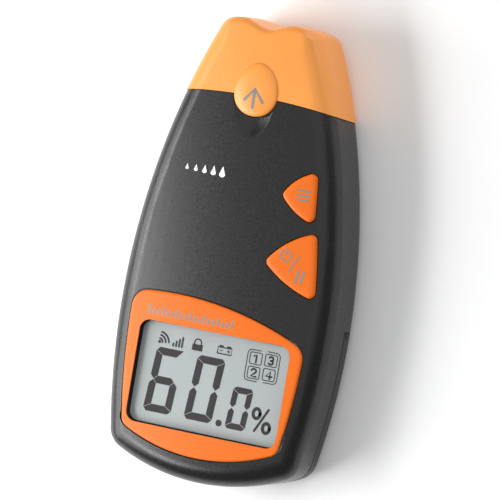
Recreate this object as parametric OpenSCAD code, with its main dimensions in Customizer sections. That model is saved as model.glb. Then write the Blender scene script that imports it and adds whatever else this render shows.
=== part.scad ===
// Four-pin moisture meter: a hand-held case that lies on its back, display up.
// +X is to the right of the display, +Y towards the pins, +Z out of the display.
// The origin is on the resting surface, under the middle of the meter.

/* [Case] */
// Overall length, bottom end to cap end
case_l = 140; // [138:1:142]
// Greatest width, across the display
case_w = 68.6; // [68:0.2:70]
// Thickness, back face to front face
case_t = 26; // [26:0.5:28]
// Wall thickness of the casing
wall = 2.2; // [2.0:0.1:2.4]
// Radius of the long bowed sides, seen from the front
side_r = 217; // [210:1:225]
// Height along the case of its widest place
side_y = -20.5; // [-22:0.5:-19]
// Radius of the bowed bottom end
bottom_r = 65; // [62:1:70]
// Corner radius at the bottom end
low_corner_r = 7; // [6.5:0.5:8]
// Radius of the slightly bowed cap end
top_r = 90; // [70:5:110]
// Corner radius at the cap end
top_corner_r = 4.4; // [4:0.2:5]
// Edge radius, front and back
edge_r = 6; // [5.5:0.1:6.2]
// Height of the parting line between the two casings
split_z = 3.8; // [3.8:0.1:4]

/* [Battery door] */
// Place of the door's upper edge
door_y = -18; // [-18.5:0.5:-17.5]
// Height that the door wraps up the sides
door_z = 5.5; // [5.3:0.1:5.7]

/* [Cap] */
// Place of the cap's lower edge, on the front face
cap_y = 47.1; // [46.5:0.1:47.5]
// Radius of the arched lower edge
cap_arch_r = 240; // [200:5:300]
// Lean of the lower edge from front to back, in degrees
cap_lean = 6.3; // [5:0.1:7]
// Wall thickness of the cap
cap_wall = 1.8; // [1.6:0.1:2.0]
// Gap round the neck
cap_gap = 0.3; // [0.25:0.05:0.35]

/* [Pins] */
// Spacing of the pins across the meter
pin_dx = 20; // [18:1:22]
// Spacing of the pins front to back
pin_dz = 10; // [9:0.5:10]
// Radius of a pin
pin_r = 0.9; // [0.8:0.05:1.0]
// Place of the pins' tips
pin_tip_y = 64; // [62:0.5:65]

/* [Display] */
// Width of the visible window
window_w = 49; // [48:0.5:50]
// Upper edge of the visible window
window_top = -24; // [-24.5:0.5:-23.5]
// Lower edge of the visible window
window_low = -55; // [-55.5:0.5:-54.5]

/* [Buttons] */
// How far a button travels
button_travel = 0.5; // [0.3:0.1:0.6]
// Gap between a button and its hole
button_gap = 0.3; // [0.25:0.05:0.4]

/* [Cells] */
// Diameter of a dry cell
cell_d = 10.5; // [10.2:0.1:10.5]
// Length of a dry cell without its terminal
cell_l = 43.6; // [43.0:0.1:43.8]
// Distance between neighbouring cells
cell_pitch = 11.2; // [11:0.1:11.2]

/* [Hidden] */

e = 0.01;
big = 200;
y_top = case_l / 2;
half_w = case_w / 2;
edge_steps = 4;
inner_z = case_t - wall;
corner_min = 0.4;
neck_inset = cap_wall + cap_gap;
neck_wall = 1.6;
neck_y = 53;
flange_y = neck_y + 1.6;
cap_end_wall = 3.6;
door_gap = 0.15;
deck_z = door_z + 1.5;
riser_y = door_y + 1.6;

// Electronics stack
board_z = 15.8;
board_t = 1.6;
board_top = board_z + board_t;
lcd_z = 20.5;
lcd_t = 2.6;
lens_z = 24.0;
lens_t = 1.2;
lens_w = window_w + 3.6;
lens_top = window_top + 1.8;
lens_low = window_low - 1.8;
bezel_seat = 24.8;
bezel_top = 26.6;
pin_z = case_t / 2;

// Battery bay
bay_w = 34;
bay_top = door_y - 0.6;
bay_low = -65.2;
bay_wall = 1.8;
bay_ceiling = 13.4;
bay_ceiling_t = 1.2;
cell_z = 7.85;
plate_t = 0.3;
nub_l = 0.8;
spring_l = bay_top - bay_low - 2 * plate_t - cell_l - nub_l;

// Fasteners
boss_places = [[-15, 37], [15, 37], [-21.4, -60.4], [21.4, -60.4]];
post_places = [[-20, 28], [8, 29.5], [-27, -12], [26.5, -15]];
screw_r = 1.15;
post_screw_r = 0.8;

// Buttons: the corners of each rounded triangle and how far its sides bow out
mode_corners = [[13.4, 20.4], [24.0, 13.6], [22.6, 28.2]];
mode_bows = [1.1, 0.15, 1.3];
mode_middle = [20.6, 20.6];
power_corners = [[11.8, -0.4], [28.4, -9.0], [25.8, 10.0]];
power_bows = [1.3, 0.2, 1.5];
power_middle = [22.2, 0.2];
button_top = 26.9;

// ---------- shared shapes ----------

function arc(c, r, a0, a1, n) =
    [for (i = [0 : n - 1]) let (a = a0 + (a1 - a0) * i / n) c + r * [cos(a), sin(a)]];

function heading(d) = atan2(d[1], d[0]);

// Where two circles cross: the upper or the lower of the two places
function crossing(c1, r1, c2, r2, upper) =
    let (
        d = c2 - c1,
        u = d / norm(d),
        along = (d * d + r1 * r1 - r2 * r2) / (2 * norm(d)),
        across = sqrt(r1 * r1 - along * along) * [-u[1], u[0]],
        way = ((across[1] > 0) == upper) ? 1 : -1
    )
    c1 + along * u + way * across;

// Right half of the outline seen from the front, drawn in by a distance
function half_outline(inset) =
    let (
        low = [0, bottom_r - y_top],
        side = [half_w - side_r, side_y],
        top = [0, y_top - top_r],
        r1 = max(low_corner_r - inset, corner_min),
        r2 = max(top_corner_r - inset, corner_min),
        k1 = crossing(side, side_r - inset - r1, low, bottom_r - inset - r1, false),
        k2 = crossing(side, side_r - inset - r2, top, top_r - inset - r2, true)
    )
    concat(
        arc(low, bottom_r - inset, -90, heading(k1 - low), 5),
        arc(k1, r1, heading(k1 - low), heading(k1 - side), 6),
        arc(side, side_r - inset, heading(k1 - side), heading(k2 - side), 12),
        arc(k2, r2, heading(k2 - side), heading(k2 - top), 5),
        arc(top, top_r - inset, heading(k2 - top), 90, 2),
        [[0, y_top - inset]]
    );

function outline(inset) =
    let (h = half_outline(inset), n = len(h))
    concat(h, [for (i = [n - 2 : -1 : 1]) [-h[i][0], h[i][1]]]);

module plan(inset = 0) {
    polygon(outline(inset));
}

// A solid with the outline's shape, its front and back edges rounded
module body_stack(inset = 0) {
    r = edge_r - inset;
    steps = [for (i = [0 : edge_steps]) 90 * i / edge_steps];
    low = [for (a = steps) [inset + r * (1 - sin(a)), inset + r * (1 - cos(a))]];
    high = [for (a = steps) [inset + r * (1 - cos(a)), case_t - inset - r * (1 - sin(a))]];
    rings = concat(low, high);
    n = len(outline(inset));
    last = (len(rings) - 1) * n;
    points = [for (ring = rings) for (p = outline(ring[0])) [p[0], p[1], ring[1]]];
    walls = [for (i = [0 : len(rings) - 2], k = [0 : n - 1])
        let (a = i * n + k, b = i * n + (k + 1) % n)
        each [[a, a + n, b + n], [a, b + n, b]]];
    ends = [[for (k = [0 : n - 1]) k], [for (k = [n - 1 : -1 : 0]) last + k]];
    polyhedron(points, concat(walls, ends), convexity = 4);
}

// A block that reaches across the meter between two places along it and two heights
module zone(y0, y1, z0 = -big, z1 = big, x = big) {
    translate([-x, y0, z0])
        cube([2 * x, y1 - y0, z1 - z0]);
}

// A box from one corner to the opposite one
module box(a, b) {
    translate(a)
        cube(b - a);
}

// Everything below the cap's arched lower edge
module below_cap_edge(gap = 0) {
    translate([0, cap_y - gap - cap_arch_r, case_t])
        rotate([-cap_lean, 0, 0])
            cylinder(h = 4 * case_t, r = cap_arch_r, center = true, $fn = 240);
}

// Plan of the raised pad on the cap
module egg(grow = 0) {
    hull() {
        translate([0, 48.6])
            circle(6.9 + grow, $fn = 48);
        translate([0, 52.5])
            circle(5.0 + grow, $fn = 40);
    }
}

module rounded_rect(w, y0, y1, r) {
    translate([0, (y0 + y1) / 2])
        offset(r, $fn = 32)
            square([w - 2 * r, y1 - y0 - 2 * r], center = true);
}

// Points of a side that bows out by a height, from p towards q
function bowed(p, q, bow, steps = 8) =
    let (d = q - p, n = [d[1], -d[0]] / norm(d))
    [for (i = [0 : steps - 1]) let (t = i / steps) p + d * t + n * bow * 4 * t * (1 - t)];

module rounded_triangle(corners, bows, r = 1.7, grow = 0) {
    offset(r + grow, $fn = 32)
        offset(delta = -r)
            polygon([for (i = [0 : 2]) each bowed(corners[i], corners[(i + 1) % 3], bows[i])]);
}

// A round tube swept along points, as one closed skin
function unit(v) = v / norm(v);
function tangent(p, i) = unit(p[min(i + 1, len(p) - 1)] - p[max(i - 1, 0)]);
function side_of(t) = unit(cross(t, abs(t[2]) < 0.8 ? [0, 0, 1] : [1, 0, 0]));
function bezier(a, b, c, d, t) =
    a * pow(1 - t, 3) + b * 3 * t * pow(1 - t, 2) + c * 3 * t * t * (1 - t) + d * pow(t, 3);

module tube(p, r, sides = 8) {
    n = len(p);
    rings = [for (i = [0 : n - 1]) let (t = tangent(p, i), u = side_of(t), v = cross(t, u))
        for (k = [0 : sides - 1]) p[i] + r * (cos(360 * k / sides) * u + sin(360 * k / sides) * v)];
    walls = [for (i = [0 : n - 2]) for (k = [0 : sides - 1]) let (m = (k + 1) % sides)
        each [[i * sides + k, (i + 1) * sides + m, i * sides + m],
              [i * sides + k, (i + 1) * sides + k, (i + 1) * sides + m]]];
    ends = [[for (k = [0 : sides - 1]) k],
            [for (k = [sides - 1 : -1 : 0]) (n - 1) * sides + k]];
    polyhedron(rings, concat(walls, ends), convexity = 6);
}

// ---------- casings ----------

module bezel_plan(grow = 0) {
    offset(delta = grow)
        offset(4.2, $fn = 40)
            offset(delta = -4.2)
                intersection() {
                    translate([half_w - side_r, side_y])
                        circle(side_r - 5.75, $fn = 240);
                    translate([side_r - half_w, side_y])
                        circle(side_r - 5.75, $fn = 240);
                    translate([0, 57 - 62.2])
                        circle(57, $fn = 96);
                    translate([-14, -14.7 - 100])
                        circle(100, $fn = 160);
                }
}

// Height at which the two casings' screw bosses meet
function boss_meet(p) = p[1] > 0 ? 8 : deck_z;

module case_screw_holes(z0, z1, r) {
    for (p = boss_places)
        translate([p[0], p[1], z0])
            cylinder(h = z1 - z0, r = r, $fn = 24);
}

// The hollow inside both casings, narrower where the neck begins
module case_hollow() {
    intersection() {
        body_stack(wall);
        zone(-big, 41.5);
    }
    intersection() {
        body_stack(neck_inset + neck_wall);
        zone(40, big);
    }
}

// Both casings' outside: the body below the cap and the neck inside it
module case_outside() {
    intersection() {
        body_stack();
        below_cap_edge();
    }
    intersection() {
        body_stack(neck_inset);
        zone(40, neck_y);
    }
}

module front_shell() {
    color("#2b2b2b")
        difference() {
            union() {
                difference() {
                    intersection() {
                        case_outside();
                        zone(-big, big, split_z);
                    }
                    case_hollow();
                    // room for the battery door
                    zone(-big, door_y, -1, door_z + 0.1);
                }
                for (p = boss_places)
                    translate([p[0], p[1], boss_meet(p) + 0.1])
                        cylinder(h = inner_z + 1 - boss_meet(p) - 0.1, r = 2.4, $fn = 32);
                for (p = post_places)
                    translate([p[0], p[1], board_top])
                        cylinder(h = inner_z + 1 - board_top, r = 2, $fn = 24);
                // backing for the thumb hollow
                box([-8.5, 33.5, 22], [8.5, 42, inner_z + 0.5]);
            }
            // seat and opening for the display
            translate([0, 0, bezel_seat])
                linear_extrude(big)
                    bezel_plan(0.25);
            translate([0, 0, 20])
                linear_extrude(big)
                    rounded_rect(lens_w + 0.4, lens_low - 0.2, lens_top + 0.2, 3.2);
            // button holes
            translate([0, 0, 20])
                linear_extrude(big) {
                    rounded_triangle(mode_corners, mode_bows, grow = button_gap);
                    rounded_triangle(power_corners, power_bows, grow = button_gap);
                }
            // recess for the cap's raised pad, and the thumb hollow below it
            translate([0, 0, 24.1])
                linear_extrude(big)
                    egg(0.35);
            translate([0, 43, case_t + 12])
                sphere(14, $fn = 96);
            case_screw_holes(split_z - 1, 18, screw_r + 0.05);
            for (p = post_places)
                translate([p[0], p[1], board_top - 1])
                    cylinder(h = 5, r = post_screw_r + 0.05, $fn = 24);
        }
}

module bay_shape() {
    outer = bay_w / 2 + bay_wall;
    difference() {
        union() {
            box([-outer, bay_low, 2.5], [outer, bay_top, bay_ceiling + bay_ceiling_t]);
            // end walls stay clear of the door
            box([-outer, bay_low - 2, door_z + 0.1],
                [outer, bay_low + e, bay_ceiling + bay_ceiling_t]);
            box([-outer, bay_top - e, 2.6],
                [outer, bay_top + 1.2, bay_ceiling + bay_ceiling_t]);
        }
        box([-big, bay_low - 1, -1], [big, bay_low + 3, door_z + 0.1]);
        // guide grooves for the door
        for (side = [-1, 1])
            translate([side * (outer - 0.45) - 0.5, bay_low - 3, 3.3])
                cube([1, bay_top - bay_low + 6, 1.3]);
    }
}

module rear_shell() {
    color("#262626")
        difference() {
            union() {
                difference() {
                    intersection() {
                        case_outside();
                        zone(door_y, big, -1, split_z);
                    }
                    case_hollow();
                }
                // lip inside the front casing
                translate([0, 0, wall - 0.2])
                    linear_extrude(3.5)
                        difference() {
                            intersection() {
                                plan(3.2);
                                translate([-big, door_y])
                                    square([2 * big, 41 - door_y]);
                            }
                            plan(4.3);
                        }
                // riser and deck over the battery door
                intersection() {
                    linear_extrude(deck_z)
                        plan(3.2);
                    union() {
                        zone(door_y, riser_y, wall - 0.2, deck_z);
                        zone(-big, riser_y, door_z + 0.1, deck_z);
                        bay_shape();
                    }
                }
                intersection() {
                    linear_extrude(big)
                        plan(wall + 0.15);
                    bay_shape();
                    zone(-big, big, deck_z - e);
                }
                for (p = boss_places)
                    if (p[1] > 0)
                        translate([p[0], p[1], wall - 0.2])
                            cylinder(h = boss_meet(p) - wall + 0.2, r = 3.4, $fn = 32);
            }
            // slot for the door's tongue
            zone(door_y - 1, door_y + 1.9, wall - 1.0, wall + 0.3, 13.4);
            // inside of the battery bay
            box([-bay_w / 2, bay_low, -1], [bay_w / 2, bay_top, bay_ceiling]);
            // slots for the contact tabs
            box([cell_pitch - 1.6, bay_top - 0.6, 12], [cell_pitch + 1.6, bay_top, 16]);
            box([-cell_pitch - 1.6, bay_low, 12], [-cell_pitch + 1.6, bay_low + 0.6, 16]);
            case_screw_holes(-1, 16, screw_r + 0.2);
            for (p = boss_places)
                translate([p[0], p[1], -1])
                    cylinder(h = p[1] > 0 ? 4.4 : door_z + 1.9, r = 2.45, $fn = 32);
        }
}

module battery_door() {
    rib = bay_w / 2 + bay_wall + 0.3;
    color("#262626")
        difference() {
            union() {
                difference() {
                    intersection() {
                        body_stack();
                        zone(-big, door_y - door_gap, -1, door_z - 0.05);
                    }
                    intersection() {
                        body_stack(wall);
                        zone(-big, big, wall);
                    }
                }
                // tongue that tucks in above the rear casing's edge
                box([-13, door_y - 2, wall - 0.7], [13, door_y + 1.6, wall]);
                // guide rails
                for (side = [-1, 1]) {
                    translate([side * (rib + 0.6) - 0.6, -62, wall - e])
                        cube([1.2, 41, 2.1]);
                    translate([side * (rib - 0.45) - 0.5, -62, 3.6])
                        cube([1.0, 41, 0.7]);
                }
            }
            // thumb grip: a row of grooves and an arrow
            for (i = [0 : 5])
                translate([0, -29 - 2 * i, 0])
                    rotate([0, 90, 0])
                        cylinder(h = 18 - i * 2, r = 0.6, center = true, $fn = 24);
            translate([0, 0, -1])
                linear_extrude(1.5)
                    polygon([[-4.5, -44], [4.5, -44], [0, -49.5]]);
        }
}

module case_screws() {
    color("silver")
        for (p = boss_places) {
            seat = p[1] > 0 ? 3.4 : door_z + 0.9;
            translate([p[0], p[1], 0])
                difference() {
                    union() {
                        translate([0, 0, seat - 1.5])
                            cylinder(h = 1.5, r1 = 1.9, r2 = 2.2, $fn = 32);
                        translate([0, 0, seat - e])
                            cylinder(h = 11, r = screw_r, $fn = 24);
                    }
                    // cross recess
                    for (a = [0, 90])
                        rotate(a)
                            translate([-1.2, -0.25, seat - 2])
                                cube([2.4, 0.5, 1.2]);
                }
        }
}

// ---------- cap ----------

module pin_cap() {
    color("#f08a30")
        difference() {
            union() {
                difference() {
                    body_stack();
                    below_cap_edge(-0.25);
                }
                // raised pad that reaches over the front casing
                hull() {
                    translate([0, 0, 24.5])
                        linear_extrude(1.6)
                            egg();
                    translate([0, 0, 26.8])
                        linear_extrude(e)
                            egg(-1.5);
                    translate([0, 0, 27.2])
                        linear_extrude(e)
                            egg(-3.6);
                }
            }
            intersection() {
                body_stack(cap_wall);
                zone(30, y_top - cap_end_wall, -1, case_t - cap_wall);
            }
            // valley in the end, deeper towards the front
            translate([0, y_top + 11, 20])
                rotate([14, 0, 0])
                    cylinder(h = 2 * case_t, r = 12, center = true, $fn = 96);
        }
}

// ---------- pins and their block ----------

function pin_place(i) = [(i % 2 == 0 ? -1 : 1) * pin_dx / 2, pin_z + (i < 2 ? 1 : -1) * pin_dz / 2];

module along_y(p, y0, y1, r, r2 = -1) {
    translate([p[0], y0, p[1]])
        rotate([-90, 0, 0])
            cylinder(h = y1 - y0, r1 = r, r2 = r2 < 0 ? r : r2, $fn = 32);
}

module electrode_block() {
    color("#3a3a3a")
        difference() {
            union() {
                intersection() {
                    body_stack(neck_inset + neck_wall + 0.15);
                    zone(45.5, neck_y + e);
                }
                intersection() {
                    body_stack(neck_inset + 0.3);
                    zone(neck_y, flange_y);
                }
            }
            for (i = [0 : 3])
                along_y(pin_place(i), 40, 60, 2.25);
            for (side = [-1, 1])
                along_y([side * 4, pin_z], 48, 60, 0.85);
        }
}

module block_screws() {
    color("silver")
        for (side = [-1, 1])
            difference() {
                union() {
                    along_y([side * 4, pin_z], flange_y, flange_y + 0.9, 1.7, 1.2);
                    along_y([side * 4, pin_z], 49, flange_y + e, 0.8);
                }
                translate([side * 4, flange_y + 0.75, pin_z])
                    cube([0.4, 0.8, 2], center = true);
            }
}

module pin_socket(i) {
    color("#c9a227")
        difference() {
            along_y(pin_place(i), 46.4, flange_y + 0.8, 2.2);
            along_y(pin_place(i), 49.5, flange_y + 2, 1.0);
        }
}

module contact_pin(i) {
    seat = flange_y + 0.8;
    color("#d8d8d8")
        union() {
            along_y(pin_place(i), 50, seat + e, 0.95);
            translate([pin_place(i)[0], seat, pin_place(i)[1]])
                rotate([-90, 0, 0])
                    cylinder(h = 1.2, r = 1.75, $fn = 6);
            along_y(pin_place(i), seat + 1, pin_tip_y - 3, pin_r);
            along_y(pin_place(i), pin_tip_y - 3 - e, pin_tip_y, pin_r, 0.08);
        }
}

module electrode_lead(i) {
    p = pin_place(i);
    from = [p[0], 46.35, p[1]];
    pad = [sign(p[0]) * (i < 2 ? 10 : 6), 31.5, board_top + 0.65];
    points = [for (k = [0 : 14])
        bezier(from, from - [0, 6, 0], pad + [0, 6, i < 2 ? 2.4 : 4.5], pad, k / 14)];
    color(i % 2 == 0 ? "#b02020" : "#202020")
        tube(points, 0.6);
}

// ---------- display ----------

module display_bezel() {
    color("#ee7d28")
        difference() {
            hull() {
                translate([0, 0, bezel_seat])
                    linear_extrude(0.8)
                        bezel_plan();
                translate([0, 0, bezel_top - e])
                    linear_extrude(e)
                        bezel_plan(-1.0);
            }
            translate([0, 0, bezel_seat - 1])
                linear_extrude(lens_z + lens_t - bezel_seat + 1)
                    rounded_rect(lens_w + 0.2, lens_low - 0.1, lens_top + 0.1, 3.1);
            translate([0, 0, 20])
                linear_extrude(big)
                    rounded_rect(window_w, window_low, window_top, 3.2);
        }
}

module display_window() {
    color([0.85, 0.9, 0.9, 0.35])
        translate([0, 0, lens_z])
            linear_extrude(lens_t)
                rounded_rect(lens_w, lens_low, lens_top, 3.0);
}

module lcd_panel() {
    color("#b8c0bf")
        box([-26.6, -57, lcd_z], [26.6, -21.4, lcd_z + lcd_t]);
}

module lcd_reflector() {
    color("#d9dedd")
        box([-24.8, -54.8, lcd_z - 0.3], [24.8, -24, lcd_z]);
}

module lcd_frame() {
    color("#404040")
        difference() {
            box([-27.4, -57.6, board_top], [27.4, -20.6, lcd_z + 1.9]);
            box([-26.7, -57.1, lcd_z], [26.7, -21.3, 30]);
            box([-25, -56.7, 10], [25, -21.9, 30]);
        }
}

module zebra_strip(i) {
    y0 = i == 0 ? -56.6 : -23.8;
    color("#d26a8c")
        box([-24.5, y0, board_top], [24.5, y0 + 1.8, lcd_z]);
}

// ---------- buttons and switches ----------

module button(corners, bows, middle) {
    difference() {
        union() {
            hull() {
                translate([0, 0, 23])
                    linear_extrude(button_top - 23.9)
                        rounded_triangle(corners, bows);
                translate([0, 0, button_top - 0.3])
                    linear_extrude(e)
                        rounded_triangle(corners, bows, grow = -0.45);
                translate([0, 0, button_top - e])
                    linear_extrude(e)
                        rounded_triangle(corners, bows, grow = -1.3);
            }
            translate([0, 0, 22.6])
                linear_extrude(0.8)
                    rounded_triangle(corners, bows, grow = 0.8);
            translate([middle[0], middle[1], 21.7])
                cylinder(h = 2, r = 2, $fn = 32);
        }
        // the cap is hollow round its stem
        translate([0, 0, 22])
            linear_extrude(button_top - 1.6 - 22)
                difference() {
                    rounded_triangle(corners, bows, grow = -1.3);
                    translate(middle)
                        circle(2, $fn = 32);
                }
    }
}

module mode_button() {
    color("#ee7d28")
        button(mode_corners, mode_bows, mode_middle);
}

module power_button() {
    color("#ee7d28")
        button(power_corners, power_bows, power_middle);
}

module switch_plunger(middle) {
    color("#e8e4d8")
        translate([middle[0], middle[1], 19.6])
            cylinder(h = 21.7 - 19.6, r = 1.7, $fn = 32);
}

module switch_body(middle) {
    color("#3c3c40")
        translate([middle[0], middle[1], 0])
            difference() {
                box([-3, -3, board_top], [3, 3, 20.9]);
                translate([0, 0, 18.9])
                    cylinder(h = 5, r = 1.76, $fn = 32);
            }
}

// ---------- board ----------

module main_board() {
    color("#1f6b3a")
        translate([0, 0, board_z])
            linear_extrude(board_t)
                difference() {
                    polygon([[-14, -66], [14, -66], [17, -58.6], [25.5, -56], [29.5, -20],
                             [28.8, 0], [25.6, 25], [23.5, 33.2], [-23.5, 33.2],
                             [-25.6, 25], [-28.8, 0], [-29.5, -20], [-25.5, -56], [-17, -58.6]]);
                    for (p = post_places)
                        translate(p)
                            circle(post_screw_r + 0.2, $fn = 24);
                    translate([cell_pitch, bay_top - 0.15])
                        square([3, 0.8], center = true);
                    translate([-cell_pitch, bay_low + 0.15])
                        square([3, 0.8], center = true);
                }
}

module board_screws() {
    color("silver")
        for (p = post_places)
            translate([p[0], p[1], board_z])
                difference() {
                    union() {
                        translate([0, 0, -1])
                            cylinder(h = 1, r = 1.6, $fn = 24);
                        translate([0, 0, -e])
                            cylinder(h = 5, r = post_screw_r, $fn = 24);
                    }
                    for (a = [0, 90])
                        rotate(a)
                            translate([-0.8, -0.2, -1.5])
                                cube([1.6, 0.4, 1.1]);
                }
}

module leads_row(n, pitch, x, z0, long) {
    for (i = [0 : n - 1])
        translate([x - long / 2, (i - (n - 1) / 2) * pitch - 0.15, z0])
            cube([long, 0.3, 0.25]);
}

module microcontroller() {
    color("#222222")
        translate([-8, 4, board_top])
            union() {
                box([-5, -5, 0.15], [5, 5, 1.5]);
                for (a = [0 : 90 : 270])
                    rotate(a)
                        leads_row(11, 0.8, 5.6, 0, 1.6);
            }
}

module amplifier_chip() {
    color("#222222")
        translate([-9, 22, board_top])
            union() {
                box([-2, -2.5, 0.15], [2, 2.5, 1.6]);
                for (side = [-1, 1])
                    leads_row(4, 1.27, side * 2.5, 0, 1.4);
            }
}

module crystal() {
    color("#c8c8c8")
        translate([-19, 10, board_top])
            hull()
                for (side = [-1, 1])
                    translate([0, side * 3, 0])
                        cylinder(h = 3.4, r = 2.1, $fn = 32);
}

module capacitors() {
    color("#26344a")
        for (p = [[2, 20], [5, -13]])
            translate([p[0], p[1], board_top]) {
                cylinder(h = 5, r = 2.5, $fn = 40);
            }
}

module chip_parts() {
    color("#b59a6a")
        for (row = [0 : 2], i = [0 : 5])
            translate([-22 + i * 4.2, -6 - row * 2.6, board_top])
                cube([1.6, 0.8, 0.6]);
    color("#b59a6a")
        for (i = [0 : 3])
            translate([-21 + i * 3, 15.8, board_top])
                cube([0.8, 1.6, 0.6]);
}

// ---------- cells and contacts ----------

// 1 where a cell's positive end points to +Y, -1 where it points to -Y
function cell_way(i) = i == 1 ? -1 : 1;
function cell_x(i) = (i - 1) * cell_pitch;

module battery_cell(i) {
    way = cell_way(i);
    plus = way > 0 ? bay_top - plate_t : bay_low + plate_t;
    color(i == 1 ? "#8a8d90" : "#9a9da0")
        translate([cell_x(i), plus, cell_z])
            rotate([way > 0 ? 90 : -90, 0, 0])
                union() {
                    cylinder(h = nub_l + e, r = 1.9, $fn = 32);
                    translate([0, 0, nub_l])
                        cylinder(h = cell_l, r = cell_d / 2, $fn = 48);
                }
}

// A conical spring between a contact plate and a cell's flat end
module battery_spring(i) {
    way = cell_way(i);
    root = way > 0 ? bay_low + plate_t : bay_top - plate_t;
    wire = 0.25;
    turns = 3;
    steps = 42;
    rise = spring_l - 2 * wire;
    color("silver")
        tube([for (k = [0 : steps]) let (t = k / steps, a = 360 * turns * t, r = 3.6 - 1.4 * t)
            [cell_x(i) + r * cos(a), root + way * (wire + rise * t), cell_z + r * sin(a)]],
            wire, 6);
}

module contact_plate(x0, x1, end, tab_x = undef) {
    y0 = end > 0 ? bay_top - plate_t : bay_low;
    color("#d0d0c8")
        union() {
            box([x0, y0, 4.8], [x1, y0 + plate_t, 12.6]);
            if (!is_undef(tab_x))
                box([tab_x - 1.2, y0, 12], [tab_x + 1.2, y0 + plate_t, board_top + 0.6]);
        }
}

module contact_negative() { contact_plate(-16.2, -6.2, -1, -cell_pitch); }
module contact_positive() { contact_plate(6.2, 16.2, 1, cell_pitch); }
module contact_link_upper() { contact_plate(-16.2, 5, 1); }
module contact_link_lower() { contact_plate(-5, 16.2, -1); }

// ---------- nodes ----------

front_shell();
rear_shell();
battery_door();
case_screws();
pin_cap();
electrode_block();
block_screws();
for (i = [0 : 3]) {
    contact_pin(i);
    pin_socket(i);
    electrode_lead(i);
}
display_bezel();
display_window();
lcd_panel();
lcd_reflector();
lcd_frame();
for (i = [0 : 1])
    zebra_strip(i);
mode_button();
switch_plunger(mode_middle);  // mode_plunger
switch_body(mode_middle);  // mode_switch
power_button();
switch_plunger(power_middle);  // power_plunger
switch_body(power_middle);  // power_switch
main_board();
board_screws();
microcontroller();
amplifier_chip();
crystal();
capacitors();
chip_parts();
for (i = [0 : 2]) {
    battery_cell(i);
    battery_spring(i);
}
contact_negative();
contact_positive();
contact_link_upper();
contact_link_lower();
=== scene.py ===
"""Hand-held four-pin moisture meter, lying on its back on a pale studio floor.

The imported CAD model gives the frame.  The casings, cap, door, display and buttons are built here at full
detail around it, and every other CAD part gets the finish of its real material.
Plain lengths are in millimetres until a mesh is written, which is in metres.
"""

import logging
import math
from collections.abc import Callable, Iterable, Sequence
from dataclasses import dataclass, field
from enum import Enum

import bmesh
import bpy
from mathutils import Matrix, Vector


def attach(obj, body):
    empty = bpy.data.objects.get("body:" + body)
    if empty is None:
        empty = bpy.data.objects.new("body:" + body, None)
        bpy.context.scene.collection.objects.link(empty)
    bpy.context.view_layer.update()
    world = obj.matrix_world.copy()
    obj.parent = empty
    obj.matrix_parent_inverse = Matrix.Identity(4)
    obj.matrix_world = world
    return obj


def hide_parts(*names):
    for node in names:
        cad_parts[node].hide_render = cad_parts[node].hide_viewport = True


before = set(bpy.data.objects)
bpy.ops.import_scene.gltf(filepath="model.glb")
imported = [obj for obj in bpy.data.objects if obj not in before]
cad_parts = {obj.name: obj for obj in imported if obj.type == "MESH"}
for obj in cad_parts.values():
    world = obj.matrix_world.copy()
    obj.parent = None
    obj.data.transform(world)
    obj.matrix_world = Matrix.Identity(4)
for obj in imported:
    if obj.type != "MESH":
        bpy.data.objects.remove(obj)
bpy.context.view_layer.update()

log = logging.getLogger("meter")

MM = 0.001
SHARP_EDGE = math.radians(34)
AXIS_Z = Vector((0, 0, 1))
# Heights between which a tool cuts right through the front of the case.
FRONT_LOW, FRONT_HIGH = 20.0, 40.0

BMesh = bmesh.types.BMesh
Point = tuple[float, float]
Place = tuple[float, float, float]


class Body(Enum):
    """The CAD bodies that pieces ride on."""

    CASE = "case"
    CAP = "cap"
    DOOR = "door"
    MODE_KEY = "mode_key"
    POWER_KEY = "power_key"


# ---------------------------------------------------------------- finishes


def linear(colour: str) -> tuple[float, float, float, float]:
    """Turns an sRGB hex colour to a linear one.

    Args:
        colour: six hex digits after a hash.

    Returns:
        Red, green, blue and an alpha of 1.
    """
    parts = [int(colour[i : i + 2], 16) / 255 for i in (1, 3, 5)]
    red, green, blue = (c / 12.92 if c <= 0.04045 else ((c + 0.055) / 1.055) ** 2.4 for c in parts)
    return red, green, blue, 1.0


def add_node(
    tree: bpy.types.NodeTree, kind: str, inputs: dict | None = None, **settings: object
) -> bpy.types.Node:
    """Adds a node, sets it up and wires it.

    Args:
        tree: the material's node tree.
        kind: the node's Blender type name.
        inputs: socket name or number to a value or to the socket that feeds it.
        settings: the node's own properties.

    Returns:
        The new node.
    """
    node = tree.nodes.new(kind)
    for name, value in settings.items():
        setattr(node, name, value)
    for key, value in (inputs or {}).items():
        if isinstance(value, bpy.types.NodeSocket):
            tree.links.new(value, node.inputs[key])
        else:
            node.inputs[key].default_value = value
    return node


def per_mm(size: float) -> float:
    """Returns the texture scale that makes a feature this many millimetres wide."""
    return 1 / (size * MM)


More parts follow.
